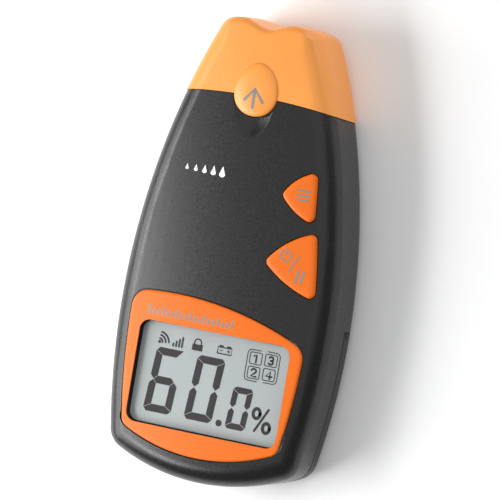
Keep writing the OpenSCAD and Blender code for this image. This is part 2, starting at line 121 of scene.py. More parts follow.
@dataclass(frozen=True)
class Finish:
    """A moulded, turned or plated surface with a fine grain and a little colour variation.

    The grain is the mould's or tool's own texture, and the mottle is the slow change of tone in any
    real batch.
    """

    name: str
    colour: str
    shade: str
    roughness: float = 0.5
    metallic: float = 0.0
    ior: float = 1.5
    grain_mm: float = 0.4
    grain_depth_mm: float = 0.004
    mottle_mm: float = 14.0
    gloss_change: float = 0.06
    coat: float = 0.0
    sheen: float = 0.0
    stretch: tuple[float, float, float] = (1.0, 1.0, 1.0)

    def ground(self, tree: bpy.types.NodeTree, place: bpy.types.NodeSocket) -> bpy.types.NodeSocket:
        """Returns the colour: two close tones in soft patches."""
        patch_settings = {"Vector": place, "Scale": per_mm(self.mottle_mm), "Detail": 3.0}
        patches = add_node(tree, "ShaderNodeTexNoise", patch_settings)
        tones = add_node(tree, "ShaderNodeValToRGB", {"Fac": patches.outputs["Fac"]})
        tones.color_ramp.elements[0].position = 0.35
        tones.color_ramp.elements[1].position = 0.68
        tones.color_ramp.elements[0].color = linear(self.shade)
        tones.color_ramp.elements[1].color = linear(self.colour)
        return tones.outputs["Color"]

    def material(self) -> bpy.types.Material:
        """Returns the finish as a material, made the first time that it is asked for."""
        made = bpy.data.materials.get(self.name)
        if made:
            return made
        made = bpy.data.materials.new(self.name)
        made.use_nodes = True
        tree = made.node_tree
        tree.nodes.clear()
        spot = add_node(tree, "ShaderNodeTexCoord").outputs["Object"]
        place = add_node(tree, "ShaderNodeMapping", {"Vector": spot, "Scale": self.stretch}).outputs["Vector"]
        grain = add_node(
            tree,
            "ShaderNodeTexNoise",
            {"Vector": place, "Scale": per_mm(self.grain_mm), "Detail": 2.0, "Roughness": 0.6},
        )
        bump = add_node(
            tree,
            "ShaderNodeBump",
            {"Height": grain.outputs["Fac"], "Strength": 1.0, "Distance": self.grain_depth_mm * MM},
        )
        gloss = add_node(
            tree,
            "ShaderNodeMapRange",
            {
                "Value": grain.outputs["Fac"],
                "From Min": 0.3,
                "From Max": 0.7,
                "To Min": self.roughness - self.gloss_change,
                "To Max": self.roughness + self.gloss_change,
            },
        )
        shader = add_node(
            tree,
            "ShaderNodeBsdfPrincipled",
            {
                "Base Color": self.ground(tree, spot),
                "Roughness": gloss.outputs["Result"],
                "Normal": bump.outputs["Normal"],
                "Metallic": self.metallic,
                "IOR": self.ior,
                "Coat Weight": self.coat,
                "Sheen Weight": self.sheen,
            },
        )
        self.special(shader)
        add_node(tree, "ShaderNodeOutputMaterial", {"Surface": shader.outputs["BSDF"]})
        return made

    def special(self, shader: bpy.types.Node) -> None:
        """Sets what only one kind of finish needs on the shader."""


@dataclass(frozen=True)
class ClearFinish(Finish):
    """A clear moulding: most light goes straight through, and only its gloss shows."""

    alpha: float = 0.05

    def special(self, shader: bpy.types.Node) -> None:
        """Lets the light through."""
        shader.inputs["Alpha"].default_value = self.alpha


@dataclass(frozen=True)
class BandedFinish(Finish):
    """A printed sleeve whose colour changes along the part's length, as on a dry cell."""

    band: str = "#c46a1c"
    low_mm: float = -31.0
    high_mm: float = -23.0

    def ground(self, tree: bpy.types.NodeTree, place: bpy.types.NodeSocket) -> bpy.types.NodeSocket:
        """Returns the colour: a band between two places along Y."""
        along = add_node(tree, "ShaderNodeSeparateXYZ", {"Vector": place}).outputs["Y"]
        over = add_node(tree, "ShaderNodeMath", {0: along, 1: self.low_mm * MM}, operation="GREATER_THAN")
        under = add_node(tree, "ShaderNodeMath", {0: along, 1: self.high_mm * MM}, operation="LESS_THAN")
        both = {0: over.outputs[0], 1: under.outputs[0]}
        inside = add_node(tree, "ShaderNodeMath", both, operation="MULTIPLY")
        plain = Finish.ground(self, tree, place)
        mix = add_node(
            tree,
            "ShaderNodeMix",
            {"Factor": inside.outputs[0], "A": plain, "B": linear(self.band)},
            data_type="RGBA",
        )
        return mix.outputs["Result"]


# ABS from a spark-eroded mould: satin, with a grain that speckles where light grazes it. The real grain
# is finer than this picture can show, so it is drawn about three times as coarse.
BLACK_ABS = Finish(
    "abs_black_spark_eroded", "#0d0d0e", "#0b0b0c", 0.3, grain_mm=0.42, grain_depth_mm=0.006
)
# The same plastic, duller, on the back and the door.
BACK_ABS = Finish("abs_black_back", "#0e0e0f", "#0c0c0d", 0.4, grain_mm=0.36, grain_depth_mm=0.006)
# ABS in light orange with a satin mould finish: soft, wide highlights.
CAP_ABS = Finish(
    "abs_orange_satin", "#ea9640", "#e68f39", 0.36,
    grain_mm=0.5, grain_depth_mm=0.002, mottle_mm=30, gloss_change=0.02,
)
# ABS in a deeper orange from a smooth mould: an even colour, with only faint highlights at the edges.
TRIM_ABS = Finish(
    "abs_orange_polished", "#e26c1c", "#de6718", 0.36,
    ior=1.3, grain_mm=0.5, grain_depth_mm=0.001, mottle_mm=30, gloss_change=0.015,
)
# Acrylic window, hard-coated: clear, with sharp reflections.
ACRYLIC = ClearFinish(
    "acrylic_window", "#0e1011", "#0c0e0f", 0.06,
    grain_depth_mm=0.0003, gloss_change=0.02, ior=1.49,
)
# Twisted-nematic display glass over a white backing: flat grey-green with hardly any gloss.
LCD_GLASS = Finish(
    "lcd_glass_grey", "#a9b1b1", "#a5adad", 0.5, grain_mm=0.3, grain_depth_mm=0.0006, mottle_mm=20
)
# Switched-on segments: near black with a brown cast.
LCD_INK = Finish("lcd_segment_dark", "#161211", "#1c1817", 0.6, grain_depth_mm=0.0005)
# Soft foam gasket under the window, black and dull: its inner edge shows as a thin dark line round the
# window, which is painted shade for the window's recess.
GASKET_PAINTED_SHADE = Finish("foam_gasket_black_painted_shade", "#141416", "#101012", 0.85, grain_mm=0.3, grain_depth_mm=0.01)
# Pad-printed inks: flat and matt.
GREY_INK = Finish("pad_ink_grey", "#807e7a", "#7a7874", 0.55, grain_depth_mm=0.001)
WHITE_INK = Finish("pad_ink_white", "#f4f4f2", "#efefed", 0.5, grain_depth_mm=0.001)
# Zinc-plated steel, rolled or turned: bright, slightly clouded.
STEEL = Finish(
    "steel_zinc_plated", "#c3c5c7", "#b4b6b8", 0.3, 1.0,
    grain_mm=0.5, grain_depth_mm=0.002, mottle_mm=4,
)
# Hardened and ground pins: streaks along the pin.
PIN_STEEL = Finish("steel_ground_pin", "#d0d1d2", "#c6c7c9", 0.2, 1.0, grain_mm=0.4, stretch=(1, 6, 1))
# Turned brass sockets: warm, with a fine tool texture.
BRASS = Finish(
    "brass_turned", "#c9a24b", "#bf9843", 0.28, 1.0, grain_mm=0.3, grain_depth_mm=0.002, mottle_mm=4
)
# Glass-filled nylon: dull, with the fibres' fine streaks.
NYLON = Finish(
    "nylon_glass_filled", "#36373a", "#2c2d30", 0.62, grain_mm=0.6, grain_depth_mm=0.01, stretch=(1, 3, 1)
)
# Green solder resist over glass weave: a glossy coat with a faint ripple.
BOARD = Finish(
    "fr4_solder_resist", "#1f6b3a", "#1a6034", 0.35,
    grain_mm=0.7, grain_depth_mm=0.003, mottle_mm=6, coat=0.3,
)
# Moulded epoxy of chips and switches: dull black with a sandy grain.
EPOXY = Finish("chip_epoxy", "#242427", "#1c1c1f", 0.6, grain_mm=0.15, grain_depth_mm=0.004)
# Fired ceramic of the chip parts: tan, half dull.
CERAMIC = Finish("ceramic_tan", "#b0956a", "#a58a60", 0.5, grain_mm=0.2, grain_depth_mm=0.003, mottle_mm=2)
# Shrunk plastic sleeve of the capacitors: smooth dark blue.
SLEEVE = Finish("capacitor_sleeve", "#2f3e57", "#28364c", 0.35, grain_mm=0.5, grain_depth_mm=0.002)
# Nickel plate on drawn cans and springs: bright and a little warm.
NICKEL = Finish(
    "nickel_can", "#c9cac8", "#bcbdbb", 0.25, 1.0, grain_mm=0.4, grain_depth_mm=0.002, mottle_mm=3
)
# Plastic wrap of a cell: glossy, dark, with one coloured band.
CELL_WRAP = BandedFinish("cell_wrap", "#2a2c30", "#232529", 0.3, grain_mm=0.5, grain_depth_mm=0.002)
# Extruded PVC of the leads: smooth, with a soft gloss.
RED_PVC = Finish("pvc_red", "#b3241f", "#a61f1b", 0.45, grain_mm=0.5, grain_depth_mm=0.003)
BLACK_PVC = Finish("pvc_black", "#1c1c1d", "#161617", 0.45, grain_mm=0.5, grain_depth_mm=0.003)
# Pink silicone rubber of the contact strips: matt.
SILICONE = Finish(
    "silicone_strip", "#cf6f8c", "#c46682", 0.6, grain_mm=0.4, grain_depth_mm=0.004, mottle_mm=3
)
# White plastic film behind the display: flat and even.
WHITE_FILM = Finish("reflector_film", "#dde2e1", "#d6dbda", 0.5, grain_depth_mm=0.001)
# Grey ABS of the display's frame: fine mould grain.
GREY_ABS = Finish("abs_grey", "#4a4b4d", "#424345", 0.5, grain_mm=0.4, grain_depth_mm=0.006)
# Acetal of the plungers: ivory, waxy and smooth.
IVORY = Finish("acetal_ivory", "#e5e0d2", "#dcd7c8", 0.4, grain_mm=0.4, grain_depth_mm=0.002)
# Seamless paper sweep: white and quite matt.
PAPER = Finish("paper_sweep", "#fbfbfb", "#f8f8f8", 0.9, grain_mm=1.2, grain_depth_mm=0.01, mottle_mm=120)


# ---------------------------------------------------------------- outlines


@dataclass(frozen=True)
class Arc:
    """A circle that carries one side of an outline."""

    x: float
    y: float
    r: float

    @property
    def centre(self) -> Vector:
        """Returns the circle's centre."""
        return Vector((self.x, self.y))

    @classmethod
    def bowed(cls, a: tuple[float, float], b: tuple[float, float], bow: float) -> "Arc":
        """Makes the circle through two points whose side bows out to the right of the way from a to b.

        Args:
            a: where the side starts.
            b: where it ends.
            bow: how far its middle stands out.

        Returns:
            The circle.
        """
        start, end = Vector(a), Vector(b)
        run = end - start
        radius = (run.length_squared / 4 + bow * bow) / (2 * bow)
        out = Vector((run.y, -run.x)).normalized()
        centre = (start + end) / 2 - out * (radius - bow)
        return cls(centre.x, centre.y, radius)


@dataclass(frozen=True)
class ArcLoop:
    """A convex outline of arcs joined by fillets, counter-clockwise.

    Corner i lies between arc i and the next one, near its hint.
    """

    arcs: tuple[Arc, ...]
    fillets: tuple[float, ...]
    hints: tuple[tuple[float, float], ...]
    side_steps: int = 28
    corner_steps: int = 10
    least_fillet: float = 0.35

    def corner(self, i: int, inset: float) -> tuple[Vector, float]:
        """Finds a fillet.

        Args:
            i: the corner's number.
            inset: how far the outline is drawn in.

        Returns:
            The fillet's centre and radius.
        """
        first, second = self.arcs[i], self.arcs[(i + 1) % len(self.arcs)]
        radius = max(self.fillets[i] - inset, self.least_fillet)
        reach_1, reach_2 = first.r - inset - radius, second.r - inset - radius
        gap = second.centre - first.centre
        along = (gap.length_squared + reach_1**2 - reach_2**2) / (2 * gap.length)
        across = math.sqrt(max(reach_1**2 - along**2, 0))
        base = first.centre + gap.normalized() * along
        aside = Vector((-gap.y, gap.x)).normalized() * across
        return min((base + aside, base - aside), key=lambda p: (p - Vector(self.hints[i])).length), radius

    @staticmethod
    def sweep(centre: Vector, radius: float, start: float, end: float, steps: int) -> list[Vector]:
        """Returns points on an arc, its last one left out, the short way round."""
        turn = (end - start + math.pi) % math.tau - math.pi
        angles = (start + turn * i / steps for i in range(steps))
        return [centre + radius * Vector((math.cos(a), math.sin(a))) for a in angles]

    def points(self, inset: float = 0.0) -> list[Vector]:
        """Returns the outline drawn in by a distance; the count of points never changes."""
        found = [self.corner(i, inset) for i in range(len(self.arcs))]
        loop: list[Vector] = []
        for i, arc in enumerate(self.arcs):
            (before, _), (after, radius) = found[i - 1], found[i]
            heads = [p - arc.centre for p in (before, after)]
            start, end = (math.atan2(h.y, h.x) for h in heads)
            loop += self.sweep(arc.centre, arc.r - inset, start, end, self.side_steps)
            follow = after - self.arcs[(i + 1) % len(self.arcs)].centre
            loop += self.sweep(after, radius, end, math.atan2(follow.y, follow.x), self.corner_steps)
        return loop


FLAT = 5000.0


def rounded_box(half_w: float, low: float, high: float, fillet: float) -> ArcLoop:
    """Makes a rectangle with rounded corners; its sides are arcs too large to tell from straight.

    Args:
        half_w: half its width, about X = 0.
        low: its lowest Y.
        high: its highest Y.
        fillet: the corner radius.

    Returns:
        The outline.
    """
    middle = (low + high) / 2
    arcs = (
        Arc(0, low + FLAT, FLAT),
        Arc(half_w - FLAT, middle, FLAT),
        Arc(0, high - FLAT, FLAT),
        Arc(FLAT - half_w, middle, FLAT),
    )
    corners = ((half_w, low), (half_w, high), (-half_w, high), (-half_w, low))
    return ArcLoop(arcs, (fillet,) * 4, corners, 6, 8)


# ---------------------------------------------------------------- mesh tools


def ring_loop(bm: BMesh, points: Iterable[Vector]) -> list[bmesh.types.BMEdge]:
    """Draws a closed loop of edges and returns them."""
    verts = [bm.verts.new(p) for p in points]
    return [bm.edges.new((verts[i - 1], verts[i])) for i in range(len(verts))]


def skin(bm: BMesh, rings: Sequence[Sequence[Vector]], closed: bool = True) -> None:
    """Bridges a stack of loops with the same number of points, and caps its two ends.

    Args:
        bm: the mesh to add to.
        rings: the loops, from one end to the other.
        closed: whether the ends get a face.
    """
    loops = [ring_loop(bm, ring) for ring in rings]
    for low, high in zip(loops, loops[1:]):
        bmesh.ops.bridge_loops(bm, edges=low + high)
    if closed:
        for loop in (loops[0], loops[-1]):
            bmesh.ops.contextual_create(bm, geom=loop)
    bmesh.ops.recalc_face_normals(bm, faces=bm.faces)


def lift(points: Iterable[Vector], z: float) -> list[Vector]:
    """Returns flat points raised to a height."""
    return [Vector((p.x, p.y, z)) for p in points]


def prism(bm: BMesh, outline: Sequence[Vector], low: float, high: float) -> None:
    """Adds a straight-sided solid from a flat outline."""
    start = len(bm.faces)
    base = ring_loop(bm, lift(outline, low))
    bmesh.ops.contextual_create(bm, geom=base)
    bm.faces.ensure_lookup_table()
    face = bm.faces[start:]
    grown = bmesh.ops.extrude_face_region(bm, geom=face)["geom"]
    tops = [v for v in grown if isinstance(v, bmesh.types.BMVert)]
    bmesh.ops.translate(bm, verts=tops, vec=(0, 0, high - low))
    bmesh.ops.recalc_face_normals(bm, faces=bm.faces)


def brick(bm: BMesh, low: Place, high: Place) -> None:
    """Adds a box between two corners."""
    a, b = Vector(low), Vector(high)
    size = b - a
    place = Matrix.Translation((a + b) / 2) @ Matrix.Diagonal((*size, 1))
    bmesh.ops.create_cube(bm, size=1, matrix=place)


def slice_off(bm: BMesh, point: Place, normal: Place) -> None:
    """Cuts a closed solid with a plane, drops the side that the normal points to and closes the cut."""
    geom = [*bm.verts, *bm.edges, *bm.faces]
    cut = bmesh.ops.bisect_plane(bm, geom=geom, dist=1e-5, plane_co=point, plane_no=normal, clear_outer=True)
    edges = [g for g in cut["geom_cut"] if isinstance(g, bmesh.types.BMEdge)]
    bmesh.ops.holes_fill(bm, edges=edges, sides=0)


def score(bm: BMesh, axis: int, places: Iterable[float]) -> None:
    """Adds edge loops across the mesh at places along an axis."""
    normal = [0.0, 0.0, 0.0]
    normal[axis] = 1.0
    for at in places:
        point = [0.0, 0.0, 0.0]
        point[axis] = at
        geom = [*bm.verts, *bm.edges, *bm.faces]
        bmesh.ops.bisect_plane(bm, geom=geom, dist=1e-5, plane_co=point, plane_no=normal)


def spread(low: float, high: float, step: float) -> list[float]:
    """Returns evenly spaced places from low to high."""
    count = round((high - low) / step)
    return [low + (high - low) * i / count for i in range(count + 1)]


def piece(name: str, fill: Callable[[BMesh], None]) -> bpy.types.Object:
    """Makes an object from a function that fills a mesh in millimetres.

    Args:
        name: the object's name.
        fill: adds the geometry.

    Returns:
        The object, in metres, linked to the scene.
    """
    bm = bmesh.new()
    fill(bm)
    bmesh.ops.scale(bm, vec=(MM, MM, MM), verts=bm.verts)
    mesh = bpy.data.meshes.new(name)
    bm.to_mesh(mesh)
    bm.free()
    made = bpy.data.objects.new(name, mesh)
    bpy.context.scene.collection.objects.link(made)
    return made


def plug(points: list[Vector], low: float = FRONT_LOW, high: float = FRONT_HIGH) -> bpy.types.Object:
    """Makes an upright tool with a given outline.

    Args:
        points: its outline.
        low: where it starts.
        high: where it ends.

    Returns:
        The tool, for combine() to use up.
    """
    return piece("tool", lambda bm: prism(bm, points, low, high))


def ramp(value: float) -> float:
    """Returns a value held between 0 and 1."""
    return min(max(value, 0), 1)


def ease(value: float) -> float:
    """Returns a value held between 0 and 1, with a soft start and a soft end."""
    share = ramp(value)
    return share * share * (3 - 2 * share)


class Cut(Enum):
    """What a second solid does to the first."""

    TAKE = "DIFFERENCE"
    JOIN = "UNION"
    KEEP = "INTERSECT"


def combine(target: bpy.types.Object, how: Cut, *tools: bpy.types.Object) -> None:
    """Applies solids to a piece one after another and removes them.

    Args:
        target: the piece that changes.
        how: whether each tool is taken away, joined, or its overlap kept.
        tools: the other solids.
    """
    for tool in tools:
        mod = target.modifiers.new("cut", "BOOLEAN")
        mod.operation = how.value
        mod.solver = "EXACT"
        mod.object = tool
        shape = bpy.data.meshes.new_from_object(target.evaluated_get(bpy.context.evaluated_depsgraph_get()))
        target.modifiers.clear()
        old = target.data
        target.data = shape
        bpy.data.meshes.remove(old)
        bpy.data.meshes.remove(tool.data)


def dress(
    obj: bpy.types.Object, finish: Finish, body: Body, bevel_mm: float = 0.0, segments: int = 2
) -> None:
    """Finishes a piece: softened edges, smooth shading, material and body.

    Args:
        obj: the piece.
        finish: its finish.
        body: the CAD body that carries it.
        bevel_mm: how wide its sharp edges are broken, or 0.
        segments: how many steps that takes.
    """
    mesh = obj.data
    mesh.materials.clear()
    mesh.materials.append(finish.material())
    for polygon in mesh.polygons:
        polygon.use_smooth = True
    if bevel_mm:
        mod = obj.modifiers.new("edges", "BEVEL")
        mod.width = bevel_mm * MM
        mod.segments = segments
        mod.limit_method = "ANGLE"
        mod.angle_limit = SHARP_EDGE
        mod.miter_outer = "MITER_ARC"
        mod.harden_normals = False
    else:
        mesh.set_sharp_from_angle(angle=SHARP_EDGE)
    normals = obj.modifiers.new("normals", "WEIGHTED_NORMAL")
    normals.keep_sharp = True
    normals.weight = 80
    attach(obj, body.value)
    log.info("%s: %d faces", obj.name, len(mesh.polygons))


# ---------------------------------------------------------------- case


@dataclass
class CaseShape:
    """The outline and rounding that the casings, the cap and the door share."""

    half_w: float = 34.3
    side_r: float = 217.0
    side_y: float = -20.5
    end_y: float = 70.0
    bottom_r: float = 65.0
    top_r: float = 90.0
    low_corner: float = 7.0
    top_corner: float = 4.4
    thick: float = 26.0
    edge_r: float = 6.0
    crown: float = 1.6
    rounding_steps: int = 10
    cap_y: float = 46.8
    cap_arch_r: float = 200.0
    cap_lean_deg: float = 5.0
    split_z: float = 3.8
    door_y: float = -18.0
    door_z: float = 9.6
    wall: float = 2.2
    neck_inset: float = 2.1
    neck_wall: float = 1.6
    neck_y: float = 53.0

    @property
    def outline(self) -> ArcLoop:
        """Returns the outline seen from the front."""
        centre = self.half_w - self.side_r
        arcs = (
            Arc(0, self.bottom_r - self.end_y, self.bottom_r),
            Arc(centre, self.side_y, self.side_r),
            Arc(0, self.end_y - self.top_r, self.top_r),
            Arc(-centre, self.side_y, self.side_r),
        )
        fillets = (self.low_corner, self.top_corner, self.top_corner, self.low_corner)
        return ArcLoop(arcs, fillets, ((30, -63), (14, 66), (-14, 66), (-30, -63)), 40, 12)

    def drop(self, x: float) -> float:
        """Returns how far the crowned front face lies below its middle at a place across it."""
        return self.crown * (x / self.half_w) ** 2

    def solid(self, bm: BMesh, inset: float = 0.0, steps: int = 0) -> None:
        """Fills the outline to its full thickness with both edges rounded and the front crowned.

        Args:
            bm: the mesh to fill.
            inset: how far the whole skin is drawn in.
            steps: how many steps each rounding takes, or 0 for the usual.
        """
        steps = steps or self.rounding_steps
        radius = self.edge_r - inset
        turns = [math.pi / 2 * i / steps for i in range(steps + 1)]
        low = [(inset + radius * (1 - math.sin(a)), inset + radius * (1 - math.cos(a))) for a in turns]
        high = [(i, self.thick - z) for i, z in reversed(low)]
        outline = self.outline
        skin(bm, [lift(outline.points(i), z) for i, z in low + high])
        score(bm, 0, [x + inset * 0.37 for x in spread(-33, 33, 3)])
        self.bend(bm)

    def bend(self, bm: BMesh) -> None:
        """Lowers the front half to the crown, the more the nearer it is to the front."""
        middle = self.thick / 2
        for vert in bm.verts:
            share = min(max((vert.co.z - middle) / (middle - self.edge_r), 0), 1)
            vert.co.z -= self.drop(vert.co.x) * share

    def cap_side(self, bm: BMesh, gap: float) -> None:
        """Fills the space above the arched parting line, to cut the casing or to keep the cap."""
        reach = 60.0
        arch = Arc(0, self.cap_y + gap - self.cap_arch_r, self.cap_arch_r)
        line = [
            Vector((x, arch.y + math.sqrt(arch.r**2 - x * x))) for x in spread(-reach, reach, 1.5)
        ]
        line += [Vector((reach, 120)), Vector((-reach, 120))]
        prism(bm, line, -70, 60)
        lean = Matrix.Rotation(math.radians(-self.cap_lean_deg), 4, "X")
        pivot = Vector((0, self.cap_y + gap, self.thick))
        bmesh.ops.rotate(bm, verts=bm.verts, cent=pivot, matrix=lean.to_3x3())


def egg(grow: float = 0.0, steps: int = 72) -> list[Vector]:
    """Returns the outline of the cap's pad: an egg with its broad end towards the display."""
    high, wide = 8.0 + grow, 6.85 + grow
    middle_y, taper = 49.0, 0.16
    turns = (math.tau * i / steps for i in range(steps))
    return [
        Vector((-wide * math.sin(a) * (1 - taper * math.cos(a)), middle_y + high * math.cos(a)))
        for a in turns
    ]


@dataclass
class Keys:
    """The two rounded triangular buttons."""

    shape: CaseShape
    gap: float = 0.3
    top_z: float = 26.88
    mode_corners: tuple = ((13.5, 19.9), (24.9, 12.6), (23.4, 28.1))
    power_corners: tuple = ((11.6, -0.5), (28.9, -9.5), (26.3, 10.3))

    @staticmethod
    def loop(corners: tuple, bows: tuple[float, float, float]) -> ArcLoop:
        """Makes a button's outline from its three corners and how far each side bows out."""
        arcs = tuple(Arc.bowed(corners[i], corners[(i + 1) % 3], bows[i]) for i in range(3))
        return ArcLoop(arcs, (1.75, 1.75, 1.75), (corners[1], corners[2], corners[0]), 16, 10)

    @property
    def mode_loop(self) -> ArcLoop:
        """Returns the upper button's outline."""
        return self.loop(self.mode_corners, (1.15, 0.2, 1.35))

    @property
    def power_loop(self) -> ArcLoop:
        """Returns the lower button's outline."""
        return self.loop(self.power_corners, (1.35, 0.25, 1.6))

    def button(self, bm: BMesh, loop: ArcLoop) -> None:
        """Fills a button: a holding flange, straight sides, a rounded shoulder and a slightly domed top."""
        profile = (
            (0.4, 22.6),
            (-0.75, 22.6),
            (-0.75, 23.4),
            (0.0, 23.4),
            (0.0, 26.0),
            (0.06, 26.26),
            (0.22, 26.48),
            (0.5, 26.66),
            (0.9, 26.78),
            (1.5, 26.85),
            (2.2, self.top_z),
        )
        skin(bm, [lift(loop.points(i), z) for i, z in profile])
        for vert in bm.verts:
            if vert.co.z > 25:
                vert.co.z -= self.shape.drop(vert.co.x)

    def build(self) -> None:
        """Makes both buttons."""
        for name, loop, body, node in (
            ("mode_key_cap", self.mode_loop, Body.MODE_KEY, "mode_button"),
            ("power_key_cap", self.power_loop, Body.POWER_KEY, "power_button"),
        ):
            key = piece(name, lambda bm, loop=loop: self.button(bm, loop))
            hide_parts(node)
            dress(key, TRIM_ABS, body)


@dataclass
class Display:
    """The surround, its gasket, the window and the display's figures."""

    shape: CaseShape
    window_w: float = 24.5
    window_low: float = -55.2
    window_high: float = -24.2
    top_z: float = 26.55
    seat_z: float = 24.8
    ledge_z: float = 25.25

    @property
    def surround(self) -> ArcLoop:
        """Returns the surround's outline."""
        side = self.shape.half_w - self.shape.side_r
        reach = self.shape.side_r - 5.85
        arcs = (
            Arc(0, -5.4, 56.9),
            Arc(side, self.shape.side_y, reach),
            Arc(-14, -115.1, 100),
            Arc(-side, self.shape.side_y, reach),
        )
        return ArcLoop(arcs, (3.4, 5.2, 5.2, 3.4), ((26, -57), (27, -24), (-27, -17), (-26, -57)), 30, 12)

    @property
    def window(self) -> ArcLoop:
        """Returns the visible window's outline."""
        return rounded_box(self.window_w, self.window_low, self.window_high, 3.2)


def round_end(tip: Vector, run: Vector, half: float) -> list[Vector]:
    """Returns the points round the end of a stroke.

    Args:
        tip: the end of its middle line.
        run: the direction out of it.
        half: half its width.

    Returns:
        Five points, from its right side to its left.
    """
    turns = ((math.cos(a), math.sin(a)) for a in (-0.9, -0.45, 0, 0.45, 0.9))
    return [tip + half * Vector((run.x * c - run.y * s, run.y * c + run.x * s)) for c, s in turns]


def mark_strip(bm: BMesh, points: Sequence[Point], width: float, z: float, thick: float) -> None:
    """Adds a printed stroke of even width along points, with round ends.

    Args:
        bm: the mesh to add to.
        points: the stroke's middle line.
        width: its width.
        z: its underside.
        thick: its thickness.
    """
    line = [Vector(p) for p in points]
    half = width / 2
    left: list[Vector] = []
    right: list[Vector] = []
    for i, p in enumerate(line):
        run = (line[min(i + 1, len(line) - 1)] - line[max(i - 1, 0)]).normalized()
        side = Vector((-run.y, run.x)) * half
        left.append(p + side)
        right.append(p - side)
    end = round_end(line[-1], (line[-1] - line[-2]).normalized(), half)
    start = round_end(line[0], (line[0] - line[1]).normalized(), half)
    prism(bm, [*right, *end, *reversed(left), *start], z, z + thick)


def circle_points(
    x: float, y: float, r: float, start: float = 0, end: float = 360, steps: int = 32
) -> list[Point]:
    """Returns points on an arc, in degrees from +X."""
    angles = [math.radians(start + (end - start) * i / steps) for i in range(steps + 1)]
    return [(x + r * math.cos(a), y + r * math.sin(a)) for a in angles]


